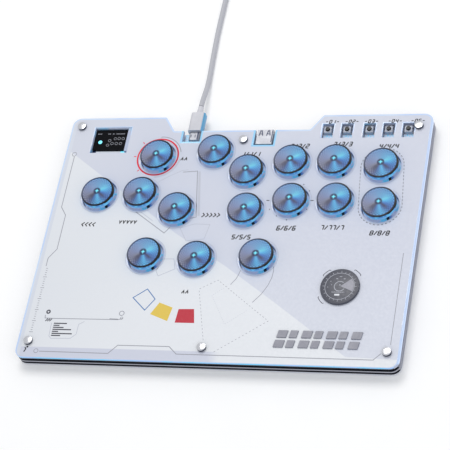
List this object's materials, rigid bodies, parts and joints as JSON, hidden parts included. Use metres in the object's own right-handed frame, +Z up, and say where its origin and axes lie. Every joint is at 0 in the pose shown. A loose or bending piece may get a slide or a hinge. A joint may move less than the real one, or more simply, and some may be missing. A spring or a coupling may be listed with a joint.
{
  "type": "leverless arcade control panel",
  "caption": "Flat leverless arcade control panel: translucent round push buttons on a plate stack, with a small screen, function keys, USB sockets and a coiled lead.",
  "frame": {"origin": "middle of the panel's outline at the height of the surface the feet stand on, leaving out the lead", "axes": "+X along the front edge to the player's right, +Y away from the player, +Z up out of the buttons"},
  "size_m": [0.3, 0.4376, 0.0198],
  "materials": {
    "cover": "printed clear acrylic with a bright edge",
    "board": "white solder mask",
    "base": "frosted acrylic",
    "cap": "translucent, ringed, lit from below",
    "switch": "moulded black",
    "plunger": "moulded black",
    "stud": "turned and plated",
    "steel": "folded shell",
    "screen": "black glass",
    "badge": "printed dial",
    "chip": "moulded package",
    "rubber_foot": "matt",
    "lead_plug": "moulded grip",
    "lead_cord": "satin jacket"
  },
  "bodies": {
    "root": {"bottom_plate": "base", "clamp_stud_1": "stud", "clamp_stud_2": "stud", "clamp_stud_3": "stud", "clamp_stud_4": "stud", "clamp_stud_5": "stud", "clamp_stud_6": "stud", "controller_chip": "chip", "cord_coil": "lead_cord", "cord_tail": "lead_cord", "cord_tube": "lead_cord", "cover_plate": "cover", "dial_badge": "badge", "foot_1": "rubber_foot", "foot_2": "rubber_foot", "foot_3": "rubber_foot", "foot_4": "rubber_foot", "main_board": "board", "screen_module": "screen", "switch_action_1": "switch", "switch_action_2": "switch", "switch_action_3": "switch", "switch_action_4": "switch", "switch_action_5": "switch", "switch_action_6": "switch", "switch_action_7": "switch", "switch_action_8": "switch", "switch_down": "switch", "switch_extra": "switch", "switch_left": "switch", "switch_right": "switch", "switch_thumb_1": "switch", "switch_thumb_2": "switch", "switch_thumb_3": "switch", "switch_up": "switch", "usb_a_plug": "lead_plug", "usb_a_socket": "steel", "usb_c_plug": "lead_plug", "usb_c_socket": "steel"},
    "button_left": {"cap_left": "cap"},
    "button_down": {"cap_down": "cap"},
    "button_up": {"cap_up": "cap"},
    "button_right": {"cap_right": "cap"},
    "button_extra": {"cap_extra": "cap"},
    "button_thumb_1": {"cap_thumb_1": "cap"},
    "button_thumb_2": {"cap_thumb_2": "cap"},
    "button_thumb_3": {"cap_thumb_3": "cap"},
    "button_action_1": {"cap_action_1": "cap"},
    "button_action_2": {"cap_action_2": "cap"},
    "button_action_3": {"cap_action_3": "cap"},
    "button_action_4": {"cap_action_4": "cap"},
    "button_action_5": {"cap_action_5": "cap"},
    "button_action_6": {"cap_action_6": "cap"},
    "button_action_7": {"cap_action_7": "cap"},
    "button_action_8": {"cap_action_8": "cap"},
    "tact_1": {"tact_plunger_1": "plunger"},
    "tact_2": {"tact_plunger_2": "plunger"},
    "tact_3": {"tact_plunger_3": "plunger"},
    "tact_4": {"tact_plunger_4": "plunger"},
    "tact_5": {"tact_plunger_5": "plunger"}
  },
  "joints": [
    {"name": "press_left", "type": "slide", "parent": "root", "child": "button_left", "axis": [0, 0, -1], "range_m": [0, 0.003], "stiffness_N_per_m": 160, "springref_m": -0.0015},
    {"name": "press_down", "type": "slide", "parent": "root", "child": "button_down", "axis": [0, 0, -1], "range_m": [0, 0.003], "stiffness_N_per_m": 160, "springref_m": -0.0015},
    {"name": "press_up", "type": "slide", "parent": "root", "child": "button_up", "axis": [0, 0, -1], "range_m": [0, 0.003], "stiffness_N_per_m": 160, "springref_m": -0.0015},
    {"name": "press_right", "type": "slide", "parent": "root", "child": "button_right", "axis": [0, 0, -1], "range_m": [0, 0.003], "stiffness_N_per_m": 160, "springref_m": -0.0015},
    {"name": "press_extra", "type": "slide", "parent": "root", "child": "button_extra", "axis": [0, 0, -1], "range_m": [0, 0.003], "stiffness_N_per_m": 160, "springref_m": -0.0015},
    {"name": "press_thumb_1", "type": "slide", "parent": "root", "child": "button_thumb_1", "axis": [0, 0, -1], "range_m": [0, 0.003], "stiffness_N_per_m": 160, "springref_m": -0.0015},
    {"name": "press_thumb_2", "type": "slide", "parent": "root", "child": "button_thumb_2", "axis": [0, 0, -1], "range_m": [0, 0.003], "stiffness_N_per_m": 160, "springref_m": -0.0015},
    {"name": "press_thumb_3", "type": "slide", "parent": "root", "child": "button_thumb_3", "axis": [0, 0, -1], "range_m": [0, 0.003], "stiffness_N_per_m": 160, "springref_m": -0.0015},
    {"name": "press_action_1", "type": "slide", "parent": "root", "child": "button_action_1", "axis": [0, 0, -1], "range_m": [0, 0.003], "stiffness_N_per_m": 160, "springref_m": -0.0015},
    {"name": "press_action_2", "type": "slide", "parent": "root", "child": "button_action_2", "axis": [0, 0, -1], "range_m": [0, 0.003], "stiffness_N_per_m": 160, "springref_m": -0.0015},
    {"name": "press_action_3", "type": "slide", "parent": "root", "child": "button_action_3", "axis": [0, 0, -1], "range_m": [0, 0.003], "stiffness_N_per_m": 160, "springref_m": -0.0015},
    {"name": "press_action_4", "type": "slide", "parent": "root", "child": "button_action_4", "axis": [0, 0, -1], "range_m": [0, 0.003], "stiffness_N_per_m": 160, "springref_m": -0.0015},
    {"name": "press_action_5", "type": "slide", "parent": "root", "child": "button_action_5", "axis": [0, 0, -1], "range_m": [0, 0.003], "stiffness_N_per_m": 160, "springref_m": -0.0015},
    {"name": "press_action_6", "type": "slide", "parent": "root", "child": "button_action_6", "axis": [0, 0, -1], "range_m": [0, 0.003], "stiffness_N_per_m": 160, "springref_m": -0.0015},
    {"name": "press_action_7", "type": "slide", "parent": "root", "child": "button_action_7", "axis": [0, 0, -1], "range_m": [0, 0.003], "stiffness_N_per_m": 160, "springref_m": -0.0015},
    {"name": "press_action_8", "type": "slide", "parent": "root", "child": "button_action_8", "axis": [0, 0, -1], "range_m": [0, 0.003], "stiffness_N_per_m": 160, "springref_m": -0.0015},
    {"name": "press_tact_1", "type": "slide", "parent": "root", "child": "tact_1", "axis": [0, 0, -1], "range_m": [0, 0.0003], "stiffness_N_per_m": 600, "springref_m": -0.0001},
    {"name": "press_tact_2", "type": "slide", "parent": "root", "child": "tact_2", "axis": [0, 0, -1], "range_m": [0, 0.0003], "stiffness_N_per_m": 600, "springref_m": -0.0001},
    {"name": "press_tact_3", "type": "slide", "parent": "root", "child": "tact_3", "axis": [0, 0, -1], "range_m": [0, 0.0003], "stiffness_N_per_m": 600, "springref_m": -0.0001},
    {"name": "press_tact_4", "type": "slide", "parent": "root", "child": "tact_4", "axis": [0, 0, -1], "range_m": [0, 0.0003], "stiffness_N_per_m": 600, "springref_m": -0.0001},
    {"name": "press_tact_5", "type": "slide", "parent": "root", "child": "tact_5", "axis": [0, 0, -1], "range_m": [0, 0.0003], "stiffness_N_per_m": 600, "springref_m": -0.0001}
  ]
}
